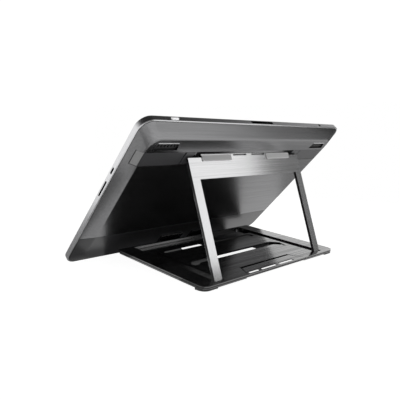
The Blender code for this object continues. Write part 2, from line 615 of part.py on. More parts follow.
def bent_outline(s0):
    """A long slot whose ends turn towards the rear; s0 is its rear edge."""
    start = s0 - BENT_DROP
    return [(-BENT_HALF, -BENT_S1), (BENT_HALF, -BENT_S1),
            (BENT_END + 2 * mm, -BENT_S1 + BENT_DROP + 2 * mm), (BENT_END - 4 * mm, -start),
            (BENT_HALF - 6 * mm, -s0), (-BENT_HALF + 6 * mm, -s0), (-BENT_END + 4 * mm, -start),
            (-BENT_END - 2 * mm, -BENT_S1 + BENT_DROP + 2 * mm)]


def plate_rings(inset, *heights):
    """The base's outline, drawn in by an inset, at some heights."""
    return [rounded_loop(BASE_HALF_W - inset, -BASE_D + inset, -inset, BASE_REAR_R - inset, z,
                         low_radius=BASE_FRONT_R - inset) for z in heights]


def base_body():
    """The plate's block: a smaller lower layer, then two lips with a shadow gap between them."""
    return loft(plate_rings(LOWER_INSET, BASE_Z0, LIP_Z) + plate_rings(0.0, LIP_Z, SEAM_Z0)
                + plate_rings(SEAM_DEPTH, SEAM_Z0, SEAM_Z1) + plate_rings(0.0, SEAM_Z1, BASE_Z1))


def base_plate(base):
    plate = base_body()
    cut(plate, slot(CHANNEL_X1, BEAM_RECESS_S0, BEAM_RECESS_S1, RECESS_Z, radius=1.5 * mm), base)
    channel, half = (CHANNEL_X0 + CHANNEL_X1) / 2, (CHANNEL_X1 - CHANNEL_X0) / 2
    for side in (-1, 1):
        centre = side * channel
        cut(plate, slot(half, HEEL_S0, BEAM_RECESS_S0 + 5 * mm, RECESS_Z + 0.01 * mm, centre_x=centre,
                        radius=0.5 * mm), base)
        cut(plate, slot(half, HEEL_S0, HEEL_S1, centre_x=centre, radius=0.5 * mm), base)
        cut(plate, rod((centre, -PIVOT_S, PIVOT_Z), LEG_PIN_R + 0.1 * mm, LEG_PIN_LEN + 1 * mm, 'X'), base)
        cut(plate, slot(FOOT_HALF + GAP, FOOT_S0 - GAP, FOOT_S1 + GAP, -5 * mm, FOOT_TOP + GAP,
                        side * FOOT_X, 0.0), base)
        for x in HOOK_RIVET_X:
            cut(plate, rod((side * x, -HOOK_RIVET_S, 0), RIVET_R + GAP, 20 * mm, 'Z', 12), base)
        cut(plate, rod((side * MAGNET_X, -MAGNET_S, RECESS_Z + 1 * mm), MAGNET_R + GAP, 3.2 * mm, 'Z', 16),
            base)
    cut(plate, slot(GROOVE_HALF_X, GROOVE_S0, GROOVE_S1, GROOVE_Z, radius=4 * mm), base)
    cut(plate, slot((WINDOW_X1 - WINDOW_X0) / 2, WINDOW_S0, WINDOW_S1, radius=1 * mm,
                    centre_x=(WINDOW_X0 + WINDOW_X1) / 2), base)
    cut(plate, outline_solid(bent_outline(BENT_S0 - BENT_DISH), 4 * mm, 'XY', BENT_DISH_Z + 4 * mm), base)
    cut(plate, outline_solid(bent_outline(BENT_S0), 4 * mm, 'XY', RECESS_Z + 4 * mm), base)
    cut(plate, slot(HOLLOW_HALF_X, HOLLOW_S0, HOLLOW_S1, -5 * mm, HOLLOW_Z, radius=2 * mm), base)
    ledge_z = BASE_Z1 - INSERT_T - GAP
    cut(plate, outline_solid(insert_outline(INSERT_ROOM), 4 * mm, 'XY', ledge_z + 4 * mm), base)
    cut(plate, slot(INSERT_FRONT_X + 1 * mm, TRENCH_S0, TRENCH_S1, RECESS_Z, radius=0.5 * mm), base)
    cut(plate, slot(INSERT_REAR_X + 1 * mm, -2 * mm, UNDER_S1, -5 * mm, UNDER_Z, radius=0.5 * mm), base)
    cut(plate, slot(UNDER_HALF_X, UNDER_S0, UNDER_S1, radius=1 * mm), base)
    return finish(plate, "base_plate", "stand_black", base)


def rear_insert(base):
    insert = outline_solid(insert_outline(0), INSERT_T / 2, 'XY', BASE_Z1 - INSERT_T / 2)
    for tool in finger_slots():
        cut(insert, tool, base)
    return finish(insert, "rear_insert", "stand_black", base)


def rear_foot(side, base):
    """Rubber wedge under the rear corner; its sole lies flat on the table."""
    fall = math.tan(-BASE_RISE)
    sole = [(-FOOT_S1, FOOT_S1 * fall), (-FOOT_S0, FOOT_S0 * fall),
            (-FOOT_S0, FOOT_TOP), (-FOOT_S1, FOOT_TOP)]
    foot = outline_solid(sole, FOOT_HALF, 'YZ', side * FOOT_X)
    corner = as_cutter(loft(plate_rings(FOOT_INSET, -5 * mm, 5 * mm)), base)
    boolean(foot, corner, 'INTERSECT')
    return finish(foot, f"rear_foot_{side_name(side)}", "rubber_black", base)


def back_line(y_up, out):
    """A point in the base's frame on the tablet's back: distance up the back, distance off it."""
    tilt = TILT + BASE_RISE
    place = Matrix.Rotation(BASE_RISE, 4, 'X') @ Matrix.Translation((0, -BASE_REAR_Y, 0))
    foot_of_back = place @ Vector((0, RIM_Z * math.sin(TILT), -RIM_Z * math.cos(TILT)))
    return (foot_of_back.y + y_up * math.cos(tilt) + out * math.sin(tilt),
            foot_of_back.z + y_up * math.sin(tilt) - out * math.cos(tilt))


def front_hook(side, base):
    """Bent plate under the base's front edge that rises against the tablet's lower back."""
    plate_top, thick, clear = BASE_Z0 - GAP, HOOK_T, HOOK_CLEAR
    plate_low = plate_top - thick
    tilt = TILT + BASE_RISE

    def along_to(z, out):
        return (z - back_line(0, out)[1]) / math.sin(tilt)

    rear = -(HOOK_RIVET_S - HOOK_PLATE_BACK)
    points = [(rear, plate_top), back_line(along_to(plate_top, clear + thick), clear + thick),
              back_line(HOOK_TOP_Y, clear + thick), back_line(HOOK_TOP_Y, clear),
              back_line(along_to(plate_low, clear), clear), (rear, plate_low)]
    hook = outline_solid(points[::-1], HOOK_HALF, 'YZ', side * HOOK_X)
    prong = [back_line(HOOK_PRONG_Y0, clear + thick / 2), back_line(HOOK_PRONG_Y1, clear + thick / 2),
             back_line(HOOK_PRONG_Y1, -1.8 * mm), back_line(HOOK_PRONG_Y0, -1.8 * mm)]
    join(hook, outline_solid(prong, HOOK_PRONG_HALF, 'YZ', side * HOOK_X), base)
    for x in HOOK_RIVET_X:
        cut(hook, rod((side * x, -HOOK_RIVET_S, 0), RIVET_R + GAP, 20 * mm, 'Z', 12), base)
    finish(hook, f"front_hook_{side_name(side)}", "stand_black", base)
    for number, x in enumerate(HOOK_RIVET_X, 1):
        top, head_top = RECESS_Z - 0.1 * mm, plate_low - GAP
        shank = rod((side * x, -HOOK_RIVET_S, (top + head_top) / 2), RIVET_R, top - head_top, 'Z', 12)
        head_z = head_top + 0.1 * mm - RIVET_HEAD_T / 2
        head = rod((side * x, -HOOK_RIVET_S, head_z), RIVET_HEAD_R, RIVET_HEAD_T, 'Z', 16)
        join(shank, head, base)
        finish(shank, f"hook_rivet_{side_name(side)}_{number}", "steel", base)


def pins_and_magnets(side, base):
    centre = side * (CHANNEL_X0 + CHANNEL_X1) / 2
    pin = rod((centre, -PIVOT_S, PIVOT_Z), LEG_PIN_R, LEG_PIN_LEN, 'X')
    finish(pin, f"leg_pin_{side_name(side)}", "steel", base)
    magnet = rod((side * MAGNET_X, -MAGNET_S, RECESS_Z + 0.9 * mm), MAGNET_R, MAGNET_LEN, 'Z', 16)
    finish(magnet, f"frame_magnet_{side_name(side)}", "steel", base)


# ---------------------------------------------------------------- leg frame

def leg_frame(leg):
    """Two flat legs under a wide beam, with the tongue that enters the tablet's socket."""
    half_t = LEG_T / 2
    inner = LEG_HALF_W - LEG_W
    frame = box((-LEG_HALF_W, -TONGUE_TOP, -half_t), (LEG_HALF_W, LEG_HEEL, half_t))
    cut(frame, box((-inner, -BEAM_BOTTOM, -9 * mm), (inner, 20 * mm, 9 * mm)), leg)
    for side in (-1, 1):
        low_x, high_x = sorted((side * TONGUE_HALF_X, side * 150 * mm))
        cut(frame, box((low_x, -180 * mm, -9 * mm), (high_x, -LEG_SHOULDER, 9 * mm)), leg)
    for x0, x1 in TONGUE_SLITS:
        cut(frame, box((x0, -TONGUE_SLIT_Y1, -9 * mm), (x1, -TONGUE_SLIT_Y0, 9 * mm)), leg)
    for side in (-1, 1):
        cut(frame, rod((side * (LEG_HALF_W - LEG_W / 2), 0, 0), LEG_PIN_R + 0.15 * mm, 30 * mm, 'X'), leg)
    finish(frame, "leg_frame", "brushed_alloy", leg)
    for side in (-1, 1):
        low_x, high_x = sorted((side * PAD_X0, side * PAD_X1))
        pad = box((low_x, -PAD_Y1, half_t + GAP), (high_x, -PAD_Y0, half_t + GAP + PAD_T), 1 * mm)
        finish(pad, f"beam_pad_{side_name(side)}", "rubber_grey", leg)


# ---------------------------------------------------------------- assembly

def build():
    origin_y = -FOOTPRINT_Y
    rim = Vector((0, RIM_Z * math.sin(TILT), -RIM_Z * math.cos(TILT)))
    tablet = empty("tablet_frame", rim + Vector((0, origin_y, 0)), TILT)
    base = empty("base_frame", (0, BASE_REAR_Y + origin_y, 0), -BASE_RISE)
    leg = empty("leg_axis", (0, -PIVOT_S, PIVOT_Z), -LEG_RISE, base)

    back_cover(tablet)
    lower_cover(tablet)
    side_frame(tablet)
    display_stack(tablet)
    electronics(tablet)
    ports(tablet)
    grilles(tablet)
    power_button(tablet)
    base_plate(base)
    rear_insert(base)
    leg_frame(leg)
    for side in (-1, 1):
        prop_leg(side, tablet)
        rear_foot(side, base)
        front_hook(side, base)
        pins_and_magnets(side, base)


clear_scene()
PARTS = make_collection("pen_tablet")
CUTTERS = make_collection("cutters")
build()
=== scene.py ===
"""Looks of the pen drawing tablet on its fold-flat stand: finer surfaces, materials, light and camera."""
import math

import bmesh
import bpy
from mathutils import Matrix, Vector


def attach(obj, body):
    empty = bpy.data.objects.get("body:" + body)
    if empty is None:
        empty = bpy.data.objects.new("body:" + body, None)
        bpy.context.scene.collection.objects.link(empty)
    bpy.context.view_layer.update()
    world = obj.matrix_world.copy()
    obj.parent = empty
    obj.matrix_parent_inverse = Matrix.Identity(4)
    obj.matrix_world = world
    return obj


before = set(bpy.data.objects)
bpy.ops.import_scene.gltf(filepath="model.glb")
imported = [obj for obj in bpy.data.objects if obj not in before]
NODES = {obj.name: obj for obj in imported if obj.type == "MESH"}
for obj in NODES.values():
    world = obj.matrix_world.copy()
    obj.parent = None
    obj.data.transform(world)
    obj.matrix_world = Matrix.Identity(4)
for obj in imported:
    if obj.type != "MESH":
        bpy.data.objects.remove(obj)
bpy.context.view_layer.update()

mm = 0.001

# Places on the object: side and top edges of the tablet, middle of its band, button, port, legs and beam,
# then the button's crown and the tongue and contacts in the port
TABLET_SIDE, TABLET_EDGE, BAND_OUT = 205 * mm, 265 * mm, 13.4 * mm
BUTTON_X, BUTTON_LENGTH, BUTTON_WIDTH, USB_UP = 157.5 * mm, 11 * mm, 3.4 * mm, 185 * mm
LEG_LEAN = math.radians(-71.4)
LEG_INNER_X = 104.3 * mm
BEAM_LOW_Z = 123.7 * mm
CROWN_START, CROWN_RISE, CROWN_INSET, CROWN_ROUND = 0.4 * mm, 0.9 * mm, 0.15 * mm, 1.0 * mm
TONGUE_ROOT, TONGUE_WIDTH, TONGUE_THICK = 9.6 * mm, 6.6 * mm, 0.8 * mm
CONTACTS, CONTACT_PITCH, CONTACT_WIDTH, CONTACT_THICK = 6, 0.95 * mm, 0.5 * mm, 0.12 * mm
CONTACT_START, CONTACT_OUT = 0.4 * mm, 0.42 * mm

# Bands where a finish changes or where shade or light is painted, each from one distance to another along
# one of the directions below
SLOTS_OUT = (11.2 * mm, 15.6 * mm)
TOP_SLOTS_UP, TOP_SLOTS_ACROSS = (262 * mm, 264.75 * mm), (-1 * mm, 175 * mm)
SIDE_SLOTS_ACROSS, SIDE_SLOTS_UP = (202 * mm, 204.75 * mm), (130 * mm, 200 * mm)
VENT_HIGHLIGHT_UP, VENT_HIGHLIGHT_ACROSS = (239.5 * mm, 240.9 * mm), (143.5 * mm, 175 * mm)
LIGHT_BAND_BACK, LIGHT_BAND_UP, LIGHT_BAND_ACROSS = (-169.3 * mm, -168.5 * mm), (2.9 * mm, 5.4 * mm), (8 * mm, 116 * mm)
RIBS_ACROSS, RIBS_DOWN = (39.6 * mm, 92.4 * mm), (-154.9 * mm, -149.3 * mm)
PICTURE_ACROSS, PICTURE_UP = (-1 * mm, 176.5 * mm), (32 * mm, 233 * mm)
SIDE_SHADE_OUT = (-1 * mm, 1.85 * mm)

# Frames of the tablet, the base and the leg frame as they stand: a point, then two directions
TABLET_AT, TABLET_UP, TABLET_OUT = (0, -0.098853, -0.006405), (0, 0.68873, 0.72501), (0, -0.72501, 0.68873)
BASE_AT, BASE_BACK, BASE_UP = (0, 0.110524, 0), (0, 0.99699, -0.07759), (0, 0.07759, 0.99699)
LEG_AT, LEG_DOWN, LEG_OUT = (0, 0.100366, 0.004803), (0, 0.3183, -0.94799), (0, 0.94799, 0.3183)
ACROSS = (1, 0, 0)

# Grain of blasted metal and its slow cloud, in grains per metre; ribs, in radians per metre; the painted
# shade inside the slots
FINE_GRAIN = (4200, 4200, 4200)
CLOUD = (22, 22, 22)
RIB_WAVES = 5200.0
SLOT_SHADE = (0.004, 0.004, 0.004)

# Stage and light
WHITE = (1, 1, 1, 1)
TABLE_RADIUS = 0.78
TABLE_GLOW = 0.95
# Painted light: the button cap glows, though it is no lamp.
BUTTON_PAINTED_GLOW = 0.40
ROOM_GLOW = 1.2
PANEL_AT, PANEL_AIM, PANEL_SIZE = (-0.28, 0.44, 0.295), (0.02, 0.06, 0.10), (0.36, 0.38)
PANEL_RADIANCE, PANEL_ROLL = 1.08, math.radians(-14)
CAMERA_AT = (0.49419, 0.44281, 0.16925)
CAMERA_TURN = (math.radians(79.3), 0.0, math.radians(139.03))
CAMERA_LENS, CAMERA_SHIFT = 39.65, (0.0903, 0.0638)

# Cards on the table: two corners and how brightly each one glows
CARDS = {
    "under_base": ((-0.142, -0.058), (0.142, 0.108), 0.004),
    "under_strip": ((-0.125, -0.122), (0.145, -0.058), 0.004),
    "strip_corner": ((0.145, -0.1195), (0.2075, -0.074), 0.27),
    "beside_band": ((0.2075, -0.1195), (0.30, 0.05), 0.30),
    "far_side": ((-0.85, -0.60), (-0.28, -0.10), 0.25),
    "rear_far": ((-0.80, 0.20), (-0.47, 0.60), 0.60),
    "far_edge": ((-0.80, -0.10), (-0.30, 0.085), 0.56),
    "side_corner": ((0.150, 0.055), (0.207, 0.17), 0.45),
    "bounce": ((-0.30, 0.18), (0.13, 0.42), 1.6),
    "front_corner": ((0.19, -0.52), (0.62, -0.1205), 0.22),
}


# ---------------------------------------------------------------- node helpers

class Look:
    """A material under construction: a Principled shader with procedural textures feeding it."""

    def __init__(self, name, colour, roughness, metallic=0.0, specular=0.5):
        self.material = bpy.data.materials.new(name)
        self.material.use_nodes = True
        self.tree = self.material.node_tree
        self.shader = self.tree.nodes["Principled BSDF"]
        self.set("Base Color", (*colour, 1.0))
        self.set("Roughness", roughness)
        self.set("Metallic", metallic)
        self.set("Specular IOR Level", specular)
        self.colour = colour
        self.roughness = roughness
        self.place = self.tree.nodes.new("ShaderNodeTexCoord").outputs["Object"]

    def set(self, socket, value):
        self.shader.inputs[socket].default_value = value

    def link(self, output, node, socket):
        self.tree.links.new(output, node.inputs[socket])

    def scaled(self, scale, turn=(0, 0, 0)):
        node = self.tree.nodes.new("ShaderNodeMapping")
        node.inputs["Scale"].default_value = scale
        node.inputs["Rotation"].default_value = turn
        self.link(self.place, node, "Vector")
        return node.outputs["Vector"]

    def noise(self, scale, detail=3.0, turn=(0, 0, 0)):
        """Noise with its own scale along each axis, in grains per metre."""
        node = self.tree.nodes.new("ShaderNodeTexNoise")
        node.inputs["Scale"].default_value = 1.0
        node.inputs["Detail"].default_value = detail
        self.link(self.scaled(scale, turn), node, "Vector")
        return node.outputs["Fac"]

    def remap(self, value, low, high, from_low=0.3, from_high=0.7):
        """A value stretched from one range to another, and held at its ends."""
        node = self.tree.nodes.new("ShaderNodeMapRange")
        node.inputs["From Min"].default_value = from_low
        node.inputs["From Max"].default_value = from_high
        node.inputs["To Min"].default_value = low
        node.inputs["To Max"].default_value = high
        self.link(value, node, "Value")
        return node.outputs["Result"]

    def blend(self, factor, first, second):
        """A colour between two, by a factor."""
        node = self.tree.nodes.new("ShaderNodeMix")
        node.data_type = 'RGBA'
        node.inputs["A"].default_value = (*first, 1.0)
        node.inputs["B"].default_value = (*second, 1.0)
        self.link(factor, node, "Factor")
        return node.outputs["Result"]

    def combine(self, kind, first, second=0.0):
        """One step of arithmetic; each side is an output or a number."""
        node = self.tree.nodes.new("ShaderNodeMath")
        node.operation = kind
        for index, side in enumerate((first, second)):
            if isinstance(side, float):
                node.inputs[index].default_value = side
            else:
                self.link(side, node, index)
        return node.outputs[0]

    def along(self, axis, origin=(0, 0, 0), both_ways=False):
        """Distance from a point along a direction, in the object's space."""
        node = self.tree.nodes.new("ShaderNodeVectorMath")
        node.operation = 'DOT_PRODUCT'
        node.inputs[1].default_value = axis
        self.link(self.place, node, 0)
        away = self.combine('SUBTRACT', node.outputs["Value"], float(Vector(axis).dot(Vector(origin))))
        return self.combine('ABSOLUTE', away) if both_ways else away

    def between(self, value, low, high, ramp=0.1 * mm):
        """One between two limits, nothing outside them, with a short ramp at each."""
        above = self.remap(value, 0.0, 1.0, low - ramp / 2, low + ramp / 2)
        below = self.remap(value, 1.0, 0.0, high - ramp / 2, high + ramp / 2)
        return self.combine('MULTIPLY', above, below)

    def every(self, *factors):
        """One where all the factors are one."""
        result = factors[0]
        for factor in factors[1:]:
            result = self.combine('MULTIPLY', result, factor)
        return result

    def mark(self, factor, colour):
        """Another colour where the factor is one."""
        node = self.tree.nodes.new("ShaderNodeMix")
        node.data_type = 'RGBA'
        below = self.shader.inputs["Base Color"]
        if below.is_linked:
            self.link(below.links[0].from_socket, node, "A")
        else:
            node.inputs["A"].default_value = below.default_value
        node.inputs["B"].default_value = (*colour, 1.0)
        self.link(factor, node, "Factor")
        self.link(node.outputs["Result"], self.shader, "Base Color")

    def vary_colour(self, factor, spread):
        """The colour a little darker and lighter, by a factor."""
        darker = tuple(c * (1 - spread) for c in self.colour)
        lighter = tuple(min(1.0, c * (1 + spread)) for c in self.colour)
        self.link(self.blend(factor, darker, lighter), self.shader, "Base Color")

    def vary_roughness(self, factor, spread):
        """The roughness a little lower and higher, by a noise."""
        varied = self.remap(factor, self.roughness - spread, self.roughness + spread)
        self.link(varied, self.shader, "Roughness")

    def glow(self, strength):
        self.set("Emission Color", WHITE)
        self.set("Emission Strength", strength)

    def bump(self, height, strength, depth):
        node = self.tree.nodes.new("ShaderNodeBump")
        node.inputs["Strength"].default_value = strength
        node.inputs["Distance"].default_value = depth
        self.link(height, node, "Height")
        self.link(node.outputs["Normal"], self.shader, "Normal")


def satin_plastic(name, colour, roughness, grain, depth, specular=0.5):
    """Moulded plastic or paint with a fine eroded texture."""
    look = Look(name, colour, roughness, specular=specular)
    fine = look.noise((grain, grain, grain), 4.0)
    cloud = look.noise((14, 14, 14), 2.0)
    look.vary_colour(cloud, 0.10)
    look.vary_roughness(fine, 0.05)
    look.bump(fine, 0.35, depth)
    return look.material


def brushed_spreader():
    """Metal with fine parallel brush lines: long grains along one direction, short across it."""
    look = Look("brushed_spreader", (0.64, 0.64, 0.645), 0.30, metallic=1.0)
    finish_brushed(look, look.noise((12, 2600, 2600), 5.0), 0.00002, 0.08)
    return look.material


def finish_brushed(look, lines, depth, spread):
    """Colour, roughness and relief that all follow the same brush lines."""
    look.vary_colour(look.remap(lines, 0.0, 1.0, 0.36, 0.64), spread)
    look.vary_roughness(lines, 0.06)
    look.bump(lines, 0.25, depth)


def frame_alloy():
    """Brushed sheet whose cut edges are painted dark as painted shade: lines run across the beam, and along
    each leg below it.
    """
    look = Look("brushed_frame", (0.64, 0.64, 0.645), 0.20, metallic=1.0)
    fine, coarse = look.noise((12, 2600, 2600), 5.0), look.noise((5, 620, 620))
    across = look.combine('MULTIPLY', look.combine('ADD', fine, coarse), 0.5)
    down = look.noise((2600, 12, 2600), 5.0, turn=(LEG_LEAN, 0, 0))
    outward, height = look.along(ACROSS, both_ways=True), look.along((0, 0, 1))
    on_leg = look.remap(outward, 0.0, 1.0, LEG_INNER_X - 0.4 * mm, LEG_INNER_X + 0.4 * mm)
    under_beam = look.remap(height, 1.0, 0.0, BEAM_LOW_Z - 1 * mm, BEAM_LOW_Z + 1 * mm)
    chosen = look.tree.nodes.new("ShaderNodeMix")
    look.link(look.every(on_leg, under_beam), chosen, "Factor")
    look.link(across, chosen, "A")
    look.link(down, chosen, "B")
    finish_brushed(look, chosen.outputs["Result"], 0.00003, 0.12)
    # Painted shade: the cut edges at the sides of the sheet are painted dark.
    side_shade = look.between(look.along(LEG_OUT, LEG_AT, both_ways=True), *SIDE_SHADE_OUT)
    look.mark(side_shade, (0.09, 0.09, 0.092))
    return look.material


def blasted_look(name, colour, roughness):
    """Bead-blasted, anodised metal, still open to marks."""
    look = Look(name, colour, roughness, metallic=1.0)
    grain = look.noise(FINE_GRAIN)
    look.vary_colour(look.noise(CLOUD, 2.0), 0.05)
    look.vary_roughness(grain, 0.05)
    look.bump(grain, 0.25, 0.00001)
    return look


def blasted_metal(name, colour, roughness):
    """Bead-blasted, anodised metal."""
    return blasted_look(name, colour, roughness).material


def banded_rim():
    """Anodised side band whose slots and holes are painted black inside, as painted shade."""
    look = blasted_look("anodised_band", (0.62, 0.62, 0.63), 0.30)
    middle = look.between(look.along(TABLET_OUT, TABLET_AT), *SLOTS_OUT)
    up = look.along(TABLET_UP, TABLET_AT)
    side = look.along(ACROSS, both_ways=True)
    in_top = look.every(middle, look.between(up, *TOP_SLOTS_UP), look.between(side, *TOP_SLOTS_ACROSS))
    in_side = look.every(middle, look.between(side, *SIDE_SLOTS_ACROSS), look.between(up, *SIDE_SLOTS_UP))
    # Painted shade: the insides of the band's slots and holes are painted near black.
    look.mark(in_top, SLOT_SHADE)
    look.mark(in_side, SLOT_SHADE)
    return look.material


def brushed_cover():
    """Dark anodised sheet with very faint lines across it, and a painted highlight on the lip over each
    vent.
    """
    look = Look("charcoal_cover", (0.175, 0.175, 0.178), 0.24, metallic=1.0)
    lines = look.noise((7, 620, 620), 4.0)
    grain = look.noise(FINE_GRAIN)
    look.vary_colour(look.remap(lines, 0.0, 1.0, 0.36, 0.64), 0.09)
    look.vary_roughness(grain, 0.05)
    look.bump(grain, 0.25, 0.00001)
    look.set("Specular Tint", (0.9, 0.9, 0.9, 1))
    # Painted highlight: a pale, non-metallic line along the lip over each vent.
    over = look.between(look.along(TABLET_UP, TABLET_AT), *VENT_HIGHLIGHT_UP, ramp=0.3 * mm)
    beside = look.between(look.along(ACROSS, both_ways=True), *VENT_HIGHLIGHT_ACROSS, ramp=1 * mm)
    vent_highlight = look.every(over, beside)
    look.mark(vent_highlight, (0.60, 0.60, 0.61))
    look.link(look.combine('SUBTRACT', 1.0, vent_highlight), look.shader, "Metallic")
    return look.material


def stand_paint():
    """Satin black plate, faintly brushed, with a pale grey band of painted light on the front wall of its
    beam recess.
    """
    look = Look("black_stand", (0.004, 0.004, 0.0045), 0.16, specular=0.95)
    look.set("Coat Roughness", 0.14)
    fine = look.noise((2200, 2200, 2200), 4.0)
    look.vary_colour(look.noise((14, 14, 14), 2.0), 0.10)
    lines = look.noise((5, 380, 380), 5.0)
    look.link(look.remap(lines, 0.2, 0.95, 0.38, 0.60), look.shader, "Coat Weight")
    look.vary_roughness(lines, 0.07)
    look.bump(look.combine('ADD', lines, fine), 0.2, 0.00002)
    # Painted light: a pale grey band on the front wall of the beam recess.
    wall = look.between(look.along(BASE_BACK, BASE_AT), *LIGHT_BAND_BACK)
    low = look.between(look.along(BASE_UP, BASE_AT), *LIGHT_BAND_UP)
    reach = look.between(look.along(ACROSS), *LIGHT_BAND_ACROSS, ramp=30 * mm)
    look.mark(look.every(wall, low, reach), (0.5, 0.5, 0.5))
    return look.material


def ribbed_pad():
    """Soft grey pad with fine ribs and a smoother border, the border painted lighter than the ribbed inside
    as a painted highlight.
    """
    look = Look("grey_pad", (0.74, 0.74, 0.74), 0.55)
    look.vary_roughness(look.noise((1500, 1500, 1500)), 0.05)
    wide = look.between(look.along(ACROSS, both_ways=True), *RIBS_ACROSS, ramp=0.4 * mm)
    tall = look.between(look.along(LEG_DOWN, LEG_AT), *RIBS_DOWN, ramp=0.4 * mm)
    inside = look.every(wide, tall)
    # Painted highlight: the ribbed inside is painted darker, so the border shows lighter.
    look.mark(inside, (0.60, 0.60, 0.60))
    ribs = look.combine('SINE', look.combine('MULTIPLY', look.along(ACROSS), RIB_WAVES))
    look.bump(look.combine('MULTIPLY', ribs, inside), 0.5, 0.00006)
    return look.material


def screen_glass():
    """Etched glass: black border, and a little lighter where the picture is."""
    look = Look("etched_glass", (0.004, 0.004, 0.005), 0.22)
    etch = look.noise((5000, 5000, 5000))
    look.vary_roughness(etch, 0.04)
    look.bump(etch, 0.3, 0.000008)
    wide = look.between(look.along(ACROSS, both_ways=True), *PICTURE_ACROSS)
    tall = look.between(look.along(TABLET_UP, TABLET_AT), *PICTURE_UP)
    look.mark(look.every(wide, tall), (0.020, 0.021, 0.025))
    return look.material


def ribbed_rubber(name, colour, axis, waves):
    """Rubber with fine moulded ribs."""
    look = Look(name, colour, 0.55)
    fine = look.noise((1500, 1500, 1500))
    look.vary_colour(fine, 0.10)
    look.vary_roughness(fine, 0.05)
    ribs = look.combine('SINE', look.combine('MULTIPLY', look.along(axis), waves))
    look.bump(look.combine('ADD', ribs, fine), 0.5, 0.00005)
    return look.material


def painted_glow_silver():
    """Bright button cap with a painted glow: it gives off light, though it is no lamp."""
    look = Look("button_cap", (0.85, 0.85, 0.86), 0.3, metallic=0.6)
    look.vary_roughness(look.noise((3000, 3000, 3000)), 0.05)
    look.glow(BUTTON_PAINTED_GLOW)
    return look.material


def assign(look, *names):
    """Give CAD nodes a material in place of their own."""
    for name in names:
        slots = NODES[name].data.materials
        slots.clear()
        slots.append(look)


def both(name):
    """The names of a left and right pair."""
    return f"{name}_left", f"{name}_right"


def soften(name, width, angle=30):
    """Round a CAD node's hard edges with modifiers; its own mesh stays as it is."""
    node = NODES[name]
    weld = node.modifiers.new("weld", 'WELD')
    weld.merge_threshold = 0.00001
    flat = node.modifiers.new("flat faces", 'DECIMATE')
    flat.decimate_type = 'DISSOLVE'
    flat.angle_limit = math.radians(0.5)
    bevel = node.modifiers.new("edge", 'BEVEL')
    bevel.width = width
    bevel.segments = 2
    bevel.limit_method = 'ANGLE'
    bevel.angle_limit = math.radians(angle)
    smooth = node.modifiers.new("normals", 'WEIGHTED_NORMAL')
    smooth.keep_sharp = False
    for face in node.data.polygons:
        face.use_smooth = True


# ---------------------------------------------------------------- materials on the CAD nodes

def paint_nodes():
    """A material for every CAD node."""
    strip = satin_plastic("charcoal_strip", (0.014, 0.014, 0.015), 0.30, 1800, 0.00002)
    foot = ribbed_rubber("foot_rubber", (0.21, 0.21, 0.21), TABLET_UP, RIB_WAVES)
    rubber = ribbed_rubber("black_rubber", (0.02, 0.02, 0.02), ACROSS, 3200.0)
    steel = blasted_metal("bright_steel", (0.60, 0.60, 0.61), 0.25)
    grille = satin_plastic("grille_plastic", (0.004, 0.004, 0.004), 0.6, 2000, 0.00003, 0.2)
    vent = satin_plastic("vent_plastic", (0.009, 0.009, 0.009), 0.38, 2000, 0.00003, 0.5)
    port = satin_plastic("port_plastic", (0.02, 0.02, 0.021), 0.5, 2000, 0.00003)
    prop = satin_plastic("prop_plastic", (0.04, 0.04, 0.042), 0.38, 2400, 0.00003)
    board = satin_plastic("board_mask", (0.02, 0.11, 0.05), 0.4, 900, 0.00004)
    brass = blasted_metal("turned_brass", (0.68, 0.50, 0.22), 0.3)
    film = satin_plastic("panel_film", (0.10, 0.10, 0.11), 0.3, 500, 0.00001)
    lamp = satin_plastic("lamp_lens", (0.006, 0.006, 0.007), 0.4, 800, 0.00001, 0.2)
    assign(brushed_cover(), "back_cover")
    assign(strip, "lower_cover")
    assign(banded_rim(), "side_frame")
    assign(frame_alloy(), "leg_frame")
    assign(brushed_spreader(), "heat_spreader")
    assign(stand_paint(), "base_plate", "rear_insert", *both("front_hook"))
    assign(ribbed_pad(), *both("beam_pad"))
    assign(foot, *both("prop_foot"))
    assign(rubber, *both("rear_foot"))
    assign(steel, "shield_plate", *both("leg_pin"), *both("prop_pin"), *both("frame_magnet"))
    assign(steel, *[f"hook_rivet_{side}_{number}" for side in ("left", "right") for number in (1, 2)])
    assign(grille, "top_grille")
    assign(vent, *both("vent_grille"))
    assign(port, "usb_socket", "card_socket", "power_switch")
    assign(prop, *both("prop_leg"), *both("prop_hinge_cap"))
    assign(board, "pen_sensor_board", "main_board")
    assign(brass, *[f"board_post_{number}" for number in (1, 2, 3, 4)])
    assign(film, "lcd_panel", "backlight_unit")
    assign(screen_glass(), "cover_glass")
    assign(painted_glow_silver(), "power_button")
    assign(lamp, "status_lamp")


def soften_nodes():
    """Finer edges on the pieces that show."""
    for name in ("back_cover", "lower_cover", "side_frame"):
        soften(name, 0.35 * mm, angle=20)
    for name in ("base_plate", "rear_insert", "leg_frame", *both("front_hook")):
        soften(name, 0.4 * mm)
    for name in (*both("prop_leg"), *both("prop_hinge_cap"), *both("prop_foot"), *both("beam_pad"),
                 "power_button", *both("rear_foot"), *both("vent_grille"), "top_grille"):
        soften(name, 0.25 * mm)


# ---------------------------------------------------------------- added pieces

def in_tablet(across, up, out):
    """A point given in the tablet's own frame, which lies at its back."""
    return Vector(TABLET_AT) + Vector((across, 0, 0)) + up * Vector(TABLET_UP) + out * Vector(TABLET_OUT)


def stadium(length, width, inset, steps=8):
    """Points round a long shape with round ends, drawn in from its edge."""
    radius = width / 2 - inset
    reach = (length - width) / 2
    return [(side * reach + radius * math.sin(angle), radius * math.cos(angle))
            for side, start in ((1, 0.0), (-1, math.pi))
            for angle in (start + math.pi * step / steps for step in range(steps + 1))]


